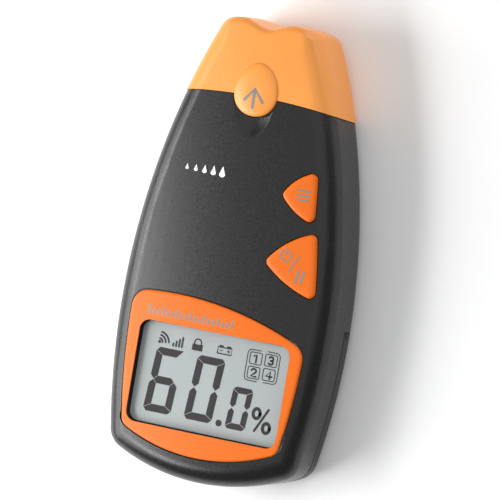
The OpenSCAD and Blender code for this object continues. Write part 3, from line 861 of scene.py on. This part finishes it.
@dataclass
class Figures:
    """What the display shows: a percentage, four numbered boxes and three small signs."""

    z: float = 23.1
    thick: float = 0.03
    slant: float = 0.075
    slit: float = 0.1
    line: float = 0.3
    corner: float = 0.42
    tail: float = 0.4

    SEGMENTS = {"0": "abcdef", "6": "acdefg"}
    BOXES = ((12.95, -29.65), (17.85, -29.45), (12.95, -33.95), (17.85, -33.75))

    def patch(self, bm: BMesh, points: Iterable[Point]) -> None:
        """Fills a flat shape on the display."""
        prism(bm, [Vector(p) for p in points], self.z, self.z + self.thick)

    def segments(self, w: float, h: float, wide: float) -> dict[str, list[Point]]:
        """Returns the outlines of a digit's seven segments, whose ends are cut at an angle.

        Args:
            w: the digit's width.
            h: its height.
            wide: the width of its segments.

        Returns:
            The outline of each segment, named a to g in the usual way.
        """
        gap = self.slit
        half, mid = wide / 2, h / 2
        corner = wide * self.corner
        tip, inner, near = corner + gap, wide + gap, half + gap
        over, under = mid + near, mid - near
        return {
            "a": [
                (tip, h), (w - tip, h), (w - gap, h - corner),
                (w - inner, h - wide), (inner, h - wide), (gap, h - corner),
            ],
            "d": [
                (gap, corner), (inner, wide), (w - inner, wide),
                (w - gap, corner), (w - tip, 0), (tip, 0),
            ],
            "f": [(0, h - tip), (wide, h - inner), (wide, over), (half, mid + gap), (0, over)],
            "b": [(w, h - tip), (w, over), (w - half, mid + gap), (w - wide, over), (w - wide, h - inner)],
            "e": [(0, tip), (0, under), (half, mid - gap), (wide, under), (wide, inner)],
            "c": [(w, tip), (w - wide, inner), (w - wide, under), (w - half, mid - gap), (w, under)],
            "g": [
                (near, mid), (inner, mid - half), (w - inner, mid - half),
                (w - near, mid), (w - inner, mid + half), (inner, mid + half),
            ],
        }

    def digit(self, bm: BMesh, number: str, foot: Point, size: Point, wide: float) -> None:
        """Draws a seven-segment digit that leans to the right.

        Args:
            bm: the mesh to add to.
            number: the digit.
            foot: the left end of its foot.
            size: its width and height.
            wide: the width of its segments.
        """
        (x, y), (w, h) = foot, size
        shapes = self.segments(w, h, wide)
        if number == "6":
            tail = [(w - wide * self.corner * self.tail, h), (w - wide, h - wide)]
            shapes["a"] = [shapes["a"][0], *tail, *shapes["a"][4:]]
        for name in self.SEGMENTS[number]:
            self.patch(bm, [(x + px + py * self.slant, y + py) for px, py in shapes[name]])

    def stroke_line(self, bm: BMesh, points: Sequence[Point], width: float) -> None:
        """Draws a thin line on the display."""
        mark_strip(bm, points, width, self.z, self.thick)

    def boxes(self, bm: BMesh) -> None:
        """Draws the four rounded boxes and the frame round them."""
        for x, y in self.BOXES:
            loop = ArcLoop(
                (
                    Arc(x, y - 1.75 + FLAT, FLAT),
                    Arc(x + 1.9 - FLAT, y, FLAT),
                    Arc(x, y + 1.75 - FLAT, FLAT),
                    Arc(x - 1.9 + FLAT, y, FLAT),
                ),
                (0.5,) * 4,
                ((x + 2, y - 2), (x + 2, y + 2), (x - 2, y + 2), (x - 2, y - 2)),
                3,
                5,
            )
            line = [tuple(p) for p in loop.points()]
            self.stroke_line(bm, [*line, line[0]], self.line)
        for side in (-1, 1):
            x, y = 15.4 + side * 5.2, -31.7 + side * 0.1
            bend = [(4.1, 4.65), (1.2, 4.65), (0.35, 4.35), (0.0, 3.6)]
            upper = [(x - side * across, y + up) for across, up in bend]
            lower = [(x - side * across, y - up) for across, up in reversed(bend)]
            self.stroke_line(bm, upper + lower, self.line)

    def numerals(self, bm: BMesh) -> None:
        """Draws the numbers 1 to 4, one in each box."""
        bowl = circle_points
        strokes = (
            [[(-0.55, 0.75), (0.15, 1.25), (0.15, -1.3)]],
            [
                [*bowl(-0.05, 0.6, 0.68, 150, -70, 12), (-0.1, -0.05)],
                [(-0.1, -0.05), *bowl(-0.05, -0.62, 0.7, 80, -150, 12)],
            ],
            [[*bowl(0.0, 0.58, 0.72, 165, -35, 12), (-0.78, -1.25), (0.85, -1.25)]],
            [[(0.35, -1.3), (0.35, 1.25), (-0.85, -0.5), (0.95, -0.5)]],
        )
        for (x, y), lines in zip(self.BOXES, strokes):
            for line in lines:
                self.stroke_line(bm, [(x + px * 1.05, y + py * 0.88) for px, py in line], 0.6)

    def signs(self, bm: BMesh) -> None:
        """Draws the three small signs: measuring waves, a padlock and a battery."""
        for radius in (1.2, 2.2, 3.2):
            self.stroke_line(bm, circle_points(-18.6, -30.6, radius, 8, 82, 14), 0.58)
        self.patch(bm, circle_points(-18.4, -30.4, 0.5, steps=16)[:-1])
        for i in range(4):
            self.stroke_line(bm, [(-13.9 + i * 0.95, -30.8), (-13.9 + i * 0.95, -30.2 + i * 0.75)], 0.62)
        self.patch(bm, ((-7.8, -30.9), (-4.4, -30.9), (-4.4, -29.0), (-7.8, -29.0)))
        bow = circle_points(-6.1, -28.5, 1.1, 180, 0, 12)
        self.stroke_line(bm, [(-7.2, -29.1), (-7.2, -28.5), *bow, (-5.0, -29.1)], 0.42)
        case = [(0.5, -30.3), (5.0, -30.3), (5.0, -28.4), (0.5, -28.4), (0.5, -30.3)]
        self.stroke_line(bm, case, 0.4)
        for x in (1.5, 4.0):
            self.stroke_line(bm, [(x - 0.5, -28.0), (x + 0.5, -28.0)], 0.46)
        self.stroke_line(bm, [(1.2, -29.35), (2.0, -29.35)], 0.28)
        self.stroke_line(bm, [(3.5, -29.35), (4.4, -29.35)], 0.28)
        self.stroke_line(bm, [(3.95, -29.75), (3.95, -28.95)], 0.28)

    def percent(self, bm: BMesh) -> None:
        """Draws the percent sign."""
        for x, y in ((16.1, -45.7), (19.8, -49.5)):
            turns = (math.tau * i / 24 for i in range(25))
            ring = [(x + 1.1 * math.cos(a), y + 1.45 * math.sin(a)) for a in turns]
            self.stroke_line(bm, ring, 1.05)
        self.stroke_line(bm, [(16.2, -50.9), (19.7, -44.0)], 0.74)

    def fill(self, bm: BMesh) -> None:
        """Draws everything that is switched on."""
        self.digit(bm, "6", (-20.3, -51.5), (9.1, 19.6), 2.3)
        self.digit(bm, "0", (-6.9, -51.5), (9.1, 19.6), 2.3)
        self.digit(bm, "0", (6.6, -51.8), (6.5, 12.8), 1.85)
        self.patch(bm, circle_points(4.6, -50.8, 1.0, steps=24)[:-1])
        self.boxes(bm)
        self.numerals(bm)
        self.signs(bm)
        self.percent(bm)


@dataclass
class DisplayUnit(Display):
    """Builds the display's pieces."""

    def surround_mesh(self, bm: BMesh) -> None:
        """Fills the surround: an outer wall, a rounded rim and a dished face round the window."""
        loop = self.surround
        rim = [(0.0, 26.0), (0.1, 26.3), (0.35, 26.48), (0.7, 26.55)]
        profile = [(0.0, self.seat_z), *rim, (1.1, self.top_z)]
        skin(bm, [lift(loop.points(i), z) for i, z in profile])
        score(bm, 0, spread(-27, 27, 3))
        for vert in bm.verts:
            if vert.co.z > 25.5:
                vert.co.z -= self.shape.drop(vert.co.x)

    def build(self) -> None:
        """Makes the surround, the gasket and the figures; the window and its glass are CAD parts."""
        frame_piece = piece("display_surround", self.surround_mesh)
        ledge = plug(rounded_box(26.4, -57.1, -22.1, 3.1).points(), high=self.ledge_z)
        combine(frame_piece, Cut.TAKE, plug(self.window.points()), ledge)
        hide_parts("display_bezel")
        dress(frame_piece, TRIM_ABS, Body.CASE, 0.18, 3)

        # The gasket reaches 0.26 mm in from the window's edge, so that it shows as a thin dark outline:
        # painted shade for the recess round the window.
        gasket_painted_shade = piece("window_gasket", lambda bm: prism(bm, self.window.points(-0.6), 23.15, 23.95))
        combine(gasket_painted_shade, Cut.TAKE, plug(self.window.points(0.26)))
        dress(gasket_painted_shade, GASKET_PAINTED_SHADE, Body.CASE)

        ink = piece("lcd_figures", Figures().fill)
        dress(ink, LCD_INK, Body.CASE)


@dataclass
class FrontCasing:
    """The black front casing with its neck, display seat, button holes and thumb hollow."""

    shape: CaseShape
    keys: Keys
    display: DisplayUnit
    room_end_y: float = 41.5
    neck_from_y: float = 40.0
    seat_gap: float = 0.42
    pad_gap: float = 0.35
    pad_room_z: float = 24.2

    def hollow(self, bm: BMesh) -> None:
        """Fills the space inside the case below the neck."""
        self.shape.solid(bm, self.shape.wall, 4)
        slice_off(bm, (0, self.room_end_y, 0), (0, 1, 0))

    def neck_hollow(self, bm: BMesh) -> None:
        """Fills the space inside the neck."""
        self.shape.solid(bm, self.shape.neck_inset + self.shape.neck_wall, 4)
        slice_off(bm, (0, self.neck_from_y, 0), (0, -1, 0))

    def neck(self, bm: BMesh) -> None:
        """Fills the neck that the cap slides over."""
        self.shape.solid(bm, self.shape.neck_inset, 6)
        slice_off(bm, (0, self.neck_from_y, 0), (0, -1, 0))
        slice_off(bm, (0, self.shape.neck_y, 0), (0, 1, 0))
        slice_off(bm, (0, 0, self.shape.split_z), (0, 0, -1))

    def outside(self, bm: BMesh) -> None:
        """Fills the casing's outer shape, down to its parting line."""
        self.shape.solid(bm)
        score(bm, 2, (self.shape.door_z + 0.7,))
        slice_off(bm, (0, 0, self.shape.split_z), (0, 0, -1))

    def thumb_hollow(self, bm: BMesh) -> None:
        """Fills the space under the thumb, below the cap's pad."""
        bmesh.ops.create_uvsphere(bm, u_segments=96, v_segments=48, radius=1)
        for vert in bm.verts:
            low = max(-vert.co.y, 0)
            vert.co.x *= 1 - 0.5 * low * low
        bmesh.ops.scale(bm, vec=(12.6, 20.0, 11.2), verts=bm.verts)
        bmesh.ops.translate(bm, vec=(0, 44.2, 35.7), verts=bm.verts)

    def build(self) -> None:
        """Makes the casing."""
        shape = self.shape
        case = piece("case_front", self.outside)
        combine(case, Cut.TAKE, piece("tool", lambda bm: shape.cap_side(bm, 0)))
        door_top = (60, shape.door_y, shape.door_z + 0.1)
        combine(case, Cut.TAKE, piece("tool", lambda bm: brick(bm, (-60, -90, -5), door_top)))
        combine(case, Cut.JOIN, piece("tool", self.neck))
        combine(case, Cut.TAKE, piece("tool", self.hollow), piece("tool", self.neck_hollow))
        rim = self.display.surround
        tools = [
            plug(rim.points(-self.seat_gap), self.display.seat_z),
            plug(rounded_box(26.5, -57.2, -22.0, 3.2).points()),
            plug(self.keys.mode_loop.points(-self.keys.gap)),
            plug(self.keys.power_loop.points(-self.keys.gap)),
            plug(egg(self.pad_gap), self.pad_room_z),
            piece("tool", self.thumb_hollow),
        ]
        combine(case, Cut.TAKE, *tools)
        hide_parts("front_shell")
        dress(case, BLACK_ABS, Body.CASE, 0.22, 3)


@dataclass
class PinCap:
    """The orange cap over the pins, with its raised pad and the finger hollow in its end."""

    shape: CaseShape
    inside: float = 1.8
    end_wall: float = 5.4
    end_edge_r: float = 2.2
    draft: float = 0.1
    proud: float = 1.012
    valley_half: float = 8.8
    valley_low: float = 10.0
    valley_rise: float = 15.0
    valley_deep: float = 1.5
    valley_base: float = 1.1
    sharp_to: float = 15.5
    sharp_fade: float = 5.0
    end_from: float = 56.0
    end_reach: float = 13.0

    def hollow_depth(self, x: float, z: float) -> float:
        """Returns how far the end is pressed in at a place on it."""
        if abs(x) > self.valley_half:
            return 0.0
        across = math.cos(x / self.valley_half * math.pi / 2) ** 2
        share = ease((z - self.valley_low) / self.valley_rise)
        return self.valley_deep * across * share + self.valley_base * across

    def sharpen(self, bm: BMesh) -> None:
        """Tightens the rounding along the front edge of the end, away from the corners."""
        shape = self.shape
        big, small = shape.edge_r, self.end_edge_r
        for vert in bm.verts:
            inset = shape.top_r - math.hypot(vert.co.x, vert.co.y - shape.end_y + shape.top_r)
            fade = ease((self.sharp_to - abs(vert.co.x)) / self.sharp_fade)
            if vert.co.z < shape.thick / 2 or not -0.01 < inset < big + 0.01:
                continue
            height = math.sqrt(max(big**2 - (big - inset) ** 2, 0))
            rise = max(height - big + small, 0)
            vert.co.y += (inset - small + math.sqrt(max(small**2 - rise**2, 0))) * fade

    def outside(self, bm: BMesh) -> None:
        """Fills the cap's outer shape."""
        self.shape.solid(bm)
        self.sharpen(bm)
        score(bm, 0, spread(-12, 12, 1))
        score(bm, 2, (9, 12, 14, 16, 18))
        score(bm, 1, (56, 59, 62, 64, 66))
        for vert in bm.verts:
            share = ramp((vert.co.y - self.end_from) / self.end_reach)
            pressed = self.hollow_depth(vert.co.x, vert.co.z)
            vert.co.y -= (pressed + self.draft * max(14 - vert.co.z, 0)) * share
            vert.co.x *= self.proud

    def inner(self, bm: BMesh) -> None:
        """Fills the space inside the cap."""
        self.shape.solid(bm, self.inside, 4)
        slice_off(bm, (0, self.shape.end_y - self.end_wall, 0), (0, 1, 0))
        slice_off(bm, (0, 30, 0), (0, -1, 0))

    def pad(self, bm: BMesh) -> None:
        """Fills the raised pad: a rim, then a low dome."""
        rim = [(0.0, 24.6), (0.0, 26.0), (-0.12, 26.25), (-0.35, 26.42), (-0.8, 26.6)]
        dome = [(-1.6, 26.82), (-2.8, 27.02), (-4.2, 27.13), (-5.6, 27.18)]
        skin(bm, [lift(egg(grow), z) for grow, z in rim + dome])

    def build(self) -> None:
        """Makes the cap."""
        cap = piece("pin_cap_shell", self.outside)
        combine(cap, Cut.KEEP, piece("tool", lambda bm: self.shape.cap_side(bm, 0.25)))
        combine(cap, Cut.TAKE, plug(egg(-0.2), 25.5))
        combine(cap, Cut.TAKE, piece("tool", self.inner))
        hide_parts("pin_cap")
        dress(cap, CAP_ABS, Body.CAP, 0.22, 3)
        pad = piece("pin_cap_pad", self.pad)
        dress(pad, CAP_ABS, Body.CAP)


@dataclass
class BatteryDoor:
    """The sliding door that wraps the back, the sides and the bottom end."""

    shape: CaseShape
    gap: float = 0.28
    grooves: int = 6
    groove_r: float = 0.6

    def outside(self, bm: BMesh) -> None:
        """Fills the door's outer shape."""
        self.shape.solid(bm)
        score(bm, 2, (self.shape.door_z - 0.9,))
        slice_off(bm, (0, 0, self.shape.door_z - self.gap), (0, 0, 1))
        slice_off(bm, (0, self.shape.door_y - self.gap, 0), (0, 1, 0))

    def rails(self, bm: BMesh) -> None:
        """Fills the tongue and the two hooked rails inside."""
        brick(bm, (-13, -22, 1.5), (13, -16.4, 2.21))
        for side in (-1, 1):
            ends = sorted((side * 19.1, side * 20.3))
            brick(bm, (ends[0], -62, 2.19), (ends[1], -21, 4.3))
            ends = sorted((side * 18.15, side * 19.15))
            brick(bm, (ends[0], -62, 3.6), (ends[1], -21, 4.3))

    def groove(self, bm: BMesh, i: int) -> None:
        """Fills one of the grip's grooves."""
        turn = Matrix.Translation((0, -29 - 2 * i, 0)) @ Matrix.Rotation(math.pi / 2, 4, "Y")
        r = self.groove_r
        bmesh.ops.create_cone(
            bm, cap_ends=True, segments=24, radius1=r, radius2=r, depth=18 - 2 * i, matrix=turn
        )

    def arrow(self, bm: BMesh) -> None:
        """Fills the arrow that shows which way the door slides."""
        corners = ((-4.5, -44), (-0.2, -49.3), (0.2, -49.3), (4.5, -44))
        prism(bm, [Vector(p) for p in corners], -1, 0.5)

    def build(self) -> None:
        """Makes the door."""
        door = piece("battery_door_panel", self.outside)
        combine(door, Cut.TAKE, piece("tool", self.room))
        grooves = [piece("tool", lambda bm, i=i: self.groove(bm, i)) for i in range(self.grooves)]
        combine(door, Cut.TAKE, *grooves, piece("tool", self.arrow))
        combine(door, Cut.JOIN, piece("tool", self.rails))
        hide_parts("battery_door")
        dress(door, BACK_ABS, Body.DOOR, 0.2, 2)

    def room(self, bm: BMesh) -> None:
        """Fills the space inside the door."""
        self.shape.solid(bm, self.shape.wall, 4)


@dataclass
class Markings:
    """The printed signs on the case, the cap and the buttons. None of them is a letter or a name.

    They are drawn flat, and settle() then lays each on its own surface.
    """

    shape: CaseShape
    thick: float = 0.06
    sunk: float = 0.03
    grid: float = 0.6
    flat_z: float = 27.0

    def patch(self, bm: BMesh, points: Iterable[Point]) -> None:
        """Prints a filled shape."""
        prism(bm, [Vector(p) for p in points], self.flat_z, self.flat_z + self.thick)

    def line(self, bm: BMesh, points: Sequence[Point], width: float) -> None:
        """Prints a stroke."""
        mark_strip(bm, points, width, self.flat_z, self.thick)

    def on_case(self, bm: BMesh) -> None:
        """Prints a short white row of rising drops at the left of the case."""
        for i, size in enumerate((0.55, 0.68, 0.81, 0.94, 1.07)):
            x, y = -18.0 + i * 2.9, 22.6
            turns = (math.radians(200 + 14 * k) for k in range(11))
            belly = [(x + size * math.cos(a), y + size * math.sin(a)) for a in turns]
            self.patch(bm, [*belly, (x, y + size * 2.1)])

    def scale_row(self, bm: BMesh) -> None:
        """Prints a graduated scale on the surround, where its wide upper band is."""
        foot, wide = -22.35, 0.75
        for i in range(19):
            x = -22.6 + i * 1.5
            long = 2.6 if i % 3 == 0 else 1.7
            lean, head = long * 0.12, foot + long
            self.patch(bm, [(x, foot), (x + wide, foot), (x + wide + lean, head), (x + lean, head)])

    def pad_arrow(self, bm: BMesh) -> None:
        """Prints the arrow that shows which way the cap comes off."""
        wide = 0.95
        self.line(bm, [(-2.9, 45.6), (0.0, 49.2), (2.9, 45.6)], wide)
        self.line(bm, [(0.0, 43.6), (0.0, 48.2)], wide)

    def mode_bars(self, bm: BMesh) -> None:
        """Prints three bars on the upper button."""
        for i in range(3):
            y = 19.4 + i * 1.35
            self.line(bm, [(18.6, y), (22.2, y)], 0.62)

    def power_signs(self, bm: BMesh) -> None:
        """Prints the power sign, a slash and the two pause bars on the lower button."""
        thin, bold = 0.5, 0.75
        self.line(bm, circle_points(18.2, 2.4, 1.65, 125, 415, 26), thin)
        self.line(bm, [(18.2, 2.6), (18.2, 4.6)], thin)
        self.line(bm, [(19.9, -2.2), (22.2, 2.6)], thin)
        for x in (22.6, 24.3):
            self.line(bm, [(x - 0.25, -4.9), (x + 0.25, -1.6)], bold)

    def gridded(self, bm: BMesh, fill: Callable[[BMesh], None]) -> None:
        """Draws a print and crosses it with edge loops, so that it can follow a curved face."""
        fill(bm)
        for axis in (0, 1):
            places = [v.co[axis] for v in bm.verts]
            score(bm, axis, spread(min(places), max(places), self.grid)[1:-1])

    def settle(self, ink: bpy.types.Object, onto: str) -> None:
        """Lays a flat print on the surface below it, so that it follows the crown.

        Args:
            ink: the printed piece.
            onto: the name of the piece that it lies on.
        """
        target = bpy.data.objects[onto]
        graph = bpy.context.evaluated_depsgraph_get()
        surface = target.evaluated_get(graph)
        low = min(v.co.z for v in ink.data.vertices)
        for vert in ink.data.vertices:
            hit, place, _, _ = surface.ray_cast(Vector((vert.co.x, vert.co.y, 0.05)), -AXIS_Z)
            if hit:
                vert.co.z = place.z + (vert.co.z - low) - self.sunk * MM

    def build(self) -> None:
        """Makes all the printed signs."""
        for name, fill, finish, slot, body, onto in (
            ("print_drops", self.on_case, WHITE_INK, "reflector_white", Body.CASE, "case_front"),
            ("print_scale", self.scale_row, GREY_INK, "frame_grey", Body.CASE, "display_surround"),
            ("print_cap_arrow", self.pad_arrow, GREY_INK, "frame_grey", Body.CAP, "pin_cap_pad"),
            ("print_mode_bars", self.mode_bars, GREY_INK, "frame_grey", Body.MODE_KEY, "mode_key_cap"),
            (
                "print_power_signs", self.power_signs, GREY_INK, "frame_grey",
                Body.POWER_KEY, "power_key_cap",
            ),
        ):
            ink = piece(name, lambda bm, fill=fill: self.gridded(bm, fill))
            self.settle(ink, onto)
            dress(ink, finish, body)


# ---------------------------------------------------------------- CAD parts that stay


@dataclass
class Insides:
    """Finishes for the CAD parts that stay as they are."""

    finishes: dict[str, Finish] = field(
        default_factory=lambda: {
            "case_screws": STEEL,
            "electrode_block": NYLON,
            "block_screws": STEEL,
            "contact_pin": PIN_STEEL,
            "pin_socket": BRASS,
            "electrode_lead_1": RED_PVC,
            "electrode_lead_2": BLACK_PVC,
            "electrode_lead_3": RED_PVC,
            "electrode_lead_4": BLACK_PVC,
            "display_window": ACRYLIC,
            "lcd_panel": LCD_GLASS,
            "lcd_reflector": WHITE_FILM,
            "lcd_frame": GREY_ABS,
            "zebra_strip": SILICONE,
            "mode_plunger": IVORY,
            "power_plunger": IVORY,
            "mode_switch": EPOXY,
            "power_switch": EPOXY,
            "main_board": BOARD,
            "board_screws": STEEL,
            "microcontroller": EPOXY,
            "amplifier_chip": EPOXY,
            "crystal": NICKEL,
            "capacitors": SLEEVE,
            "chip_parts": CERAMIC,
            "battery_cell": CELL_WRAP,
            "battery_spring": NICKEL,
            "contact_": NICKEL,
        }
    )

    def finish_for(self, node: str) -> Finish | None:
        """Returns the finish whose name the node's name starts with, the longest one first."""
        keys = sorted((k for k in self.finishes if node.startswith(k)), key=len)
        return self.finishes[keys[-1]] if keys else None

    def back_casing(self) -> None:
        """Makes the back casing from its CAD mesh, merged so that its rounded edges shade smoothly."""
        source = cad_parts["rear_shell"]
        mesh = source.data.copy()
        mesh.transform(source.matrix_world)
        bm = bmesh.new()
        bm.from_mesh(mesh)
        bmesh.ops.remove_doubles(bm, verts=bm.verts, dist=0.002 * MM)
        bmesh.ops.dissolve_limit(bm, angle_limit=math.radians(0.5), verts=bm.verts, edges=bm.edges)
        bm.to_mesh(mesh)
        bm.free()
        back = bpy.data.objects.new("case_back", mesh)
        bpy.context.scene.collection.objects.link(back)
        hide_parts("rear_shell")
        dress(back, BACK_ABS, Body.CASE)

    def build(self) -> None:
        """Dresses every CAD part that is still shown."""
        self.back_casing()
        for name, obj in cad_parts.items():
            finish = self.finish_for(name)
            if finish is None:
                continue
            obj.data.materials.clear()
            obj.data.materials.append(finish.material())


# ---------------------------------------------------------------- studio


@dataclass
class Studio:
    """Paper floor, soft lights and the camera."""

    side_deg: float = 21.5
    tilt_deg: float = 3.8
    roll_deg: float = 9.6
    distance: float = 1.6
    view_width: float = 0.1496
    sensor: float = 36.0
    target: tuple[float, float, float] = (0.0, 0.0, 13.0)
    shift_right: float = 1.24
    shift_up: float = 0.95
    room_light: float = 0.3
    room_seen: float = 0.6

    def axes(self) -> tuple[Vector, Vector, Vector]:
        """Returns the camera's right, up and back directions."""
        side, tilt, roll = (math.radians(a) for a in (self.side_deg, self.tilt_deg, self.roll_deg))
        back = Vector((math.sin(side) * math.cos(tilt), math.sin(tilt), math.cos(side) * math.cos(tilt)))
        right = Vector((math.cos(side), 0, -math.sin(side)))
        up = back.cross(right)
        turned = right * math.cos(roll) + up * math.sin(roll)
        return turned, up * math.cos(roll) - right * math.sin(roll), back

    def camera(self) -> None:
        """Makes the camera, looking down at the meter from its upper right."""
        right, up, back = self.axes()
        side = math.radians(self.side_deg)
        flat_right = Vector((math.cos(side), 0, -math.sin(side)))
        flat_up = back.cross(flat_right)
        target = (Vector(self.target) + flat_right * self.shift_right + flat_up * self.shift_up) * MM
        data = bpy.data.cameras.new("camera")
        data.lens = self.sensor * self.distance / self.view_width
        data.sensor_width = self.sensor
        camera = bpy.data.objects.new("camera", data)
        turn = Matrix((right, up, back)).transposed().to_4x4()
        camera.matrix_world = Matrix.Translation(target + back * self.distance) @ turn
        bpy.context.scene.collection.objects.link(camera)
        bpy.context.scene.camera = camera

    def light(self, name: str, place: Place, size: Point, power: float) -> None:
        """Adds a soft box aimed at the meter.

        Args:
            name: the light's name.
            place: where it stands, in metres.
            size: its width and height, in metres.
            power: its strength, in watts.
        """
        data = bpy.data.lights.new(name, "AREA")
        data.shape = "RECTANGLE"
        data.size, data.size_y = size
        data.energy = power
        lamp = bpy.data.objects.new(name, data)
        lamp.location = place
        lamp.rotation_mode = "QUATERNION"
        lamp.rotation_quaternion = (Vector((0, 0, 0.013)) - Vector(place)).to_track_quat("-Z", "Y")
        bpy.context.scene.collection.objects.link(lamp)

    def ceiling(self, place: Place, spread_deg: float, power: float) -> None:
        """Adds the wide, even light from the ceiling.

        Args:
            place: the direction that it comes from.
            spread_deg: how wide it looks from below.
            power: its strength, in watts per square metre.
        """
        data = bpy.data.lights.new("ceiling", "SUN")
        data.angle = math.radians(spread_deg)
        data.energy = power
        lamp = bpy.data.objects.new("ceiling", data)
        lamp.rotation_mode = "QUATERNION"
        lamp.rotation_quaternion = (-Vector(place)).to_track_quat("-Z", "Y")
        bpy.context.scene.collection.objects.link(lamp)

    def floor(self) -> None:
        """Lays the paper floor."""
        sheet = piece("floor", lambda bm: bmesh.ops.create_grid(bm, x_segments=1, y_segments=1, size=4000))
        sheet.data.materials.append(PAPER.material())

    def world(self) -> None:
        """Fills the room with even, pale light."""
        world = bpy.data.worlds.new("room")
        world.use_nodes = True
        tree = world.node_tree
        seen = add_node(tree, "ShaderNodeLightPath").outputs["Is Camera Ray"]
        levels = {"Value": seen, "To Min": self.room_light, "To Max": self.room_seen}
        strength = add_node(tree, "ShaderNodeMapRange", levels)
        ground = tree.nodes["Background"]
        ground.inputs["Color"].default_value = linear("#f7f8f9")
        tree.links.new(strength.outputs["Result"], ground.inputs["Strength"])
        bpy.context.scene.world = world

    def build(self) -> None:
        """Sets up the studio."""
        bpy.context.scene.view_settings.view_transform = "Standard"
        self.camera()
        self.floor()
        self.world()
        self.light("key_left", (-0.215, -0.09, 0.275), (0.32, 0.09), 1.05)
        self.light("left_low", (-0.46, -0.15, 0.24), (0.50, 0.26), 2.1)
        self.light("right_low", (0.42, 0.52, 0.15), (0.45, 0.25), 1.5)
        self.ceiling((0.22, 0.45, 1.0), 75.0, 0.85)


def main() -> None:
    """Builds the meter and its studio."""
    logging.basicConfig(level=logging.INFO, format="%(name)s %(message)s")
    shape = CaseShape()
    keys = Keys(shape)
    display = DisplayUnit(shape)
    FrontCasing(shape, keys, display).build()
    PinCap(shape).build()
    BatteryDoor(shape).build()
    display.build()
    keys.build()
    Insides().build()
    Markings(shape).build()
    Studio().build()


if __name__ == "__main__":
    main()
